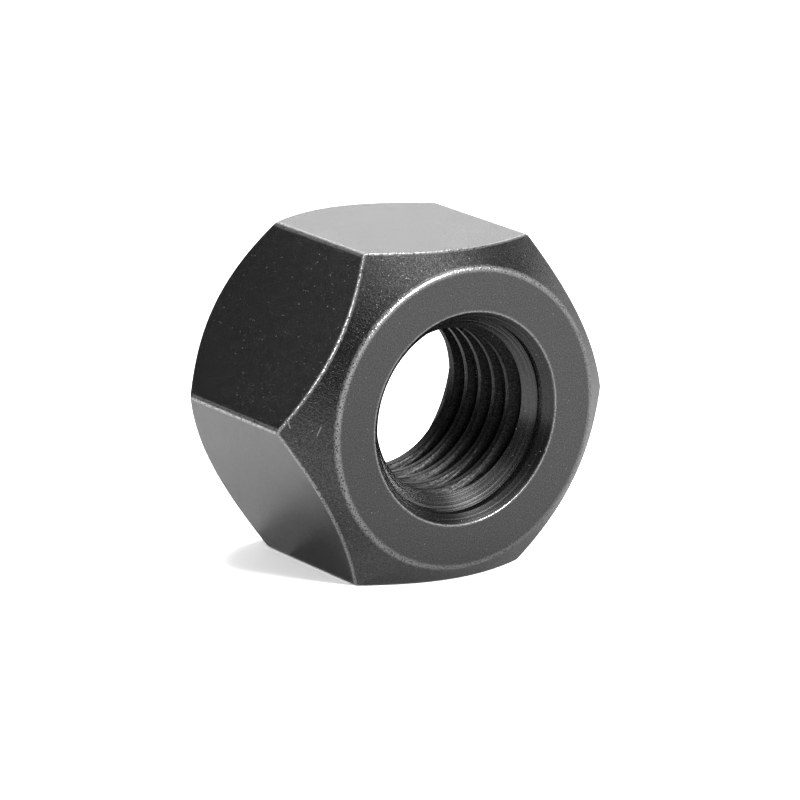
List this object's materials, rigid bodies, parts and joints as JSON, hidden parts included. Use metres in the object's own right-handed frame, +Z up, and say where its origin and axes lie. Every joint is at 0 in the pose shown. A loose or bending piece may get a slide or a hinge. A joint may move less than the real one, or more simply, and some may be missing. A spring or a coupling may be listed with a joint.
{
  "type": "lock nut",
  "caption": "Hexagonal steel lock nut with chamfered ends, a stepped and chamfered mouth, a right-hand threaded bore and a plain rear recess, in matte black oxide.",
  "frame": {"origin": "centre of the flat that the nut rests on, in the plane z = 0", "axes": "+Y along the thread axis, from the bearing face to the rear; +Z up, square to the flat it rests on; +X towards a corner"},
  "size_m": [0.0322, 0.02, 0.028],
  "materials": {
    "black_oxide_steel": "matte black oxide over fine-blasted steel"
  },
  "bodies": {
    "root": {"nut_body": "black_oxide_steel"}
  },
  "joints": []
}
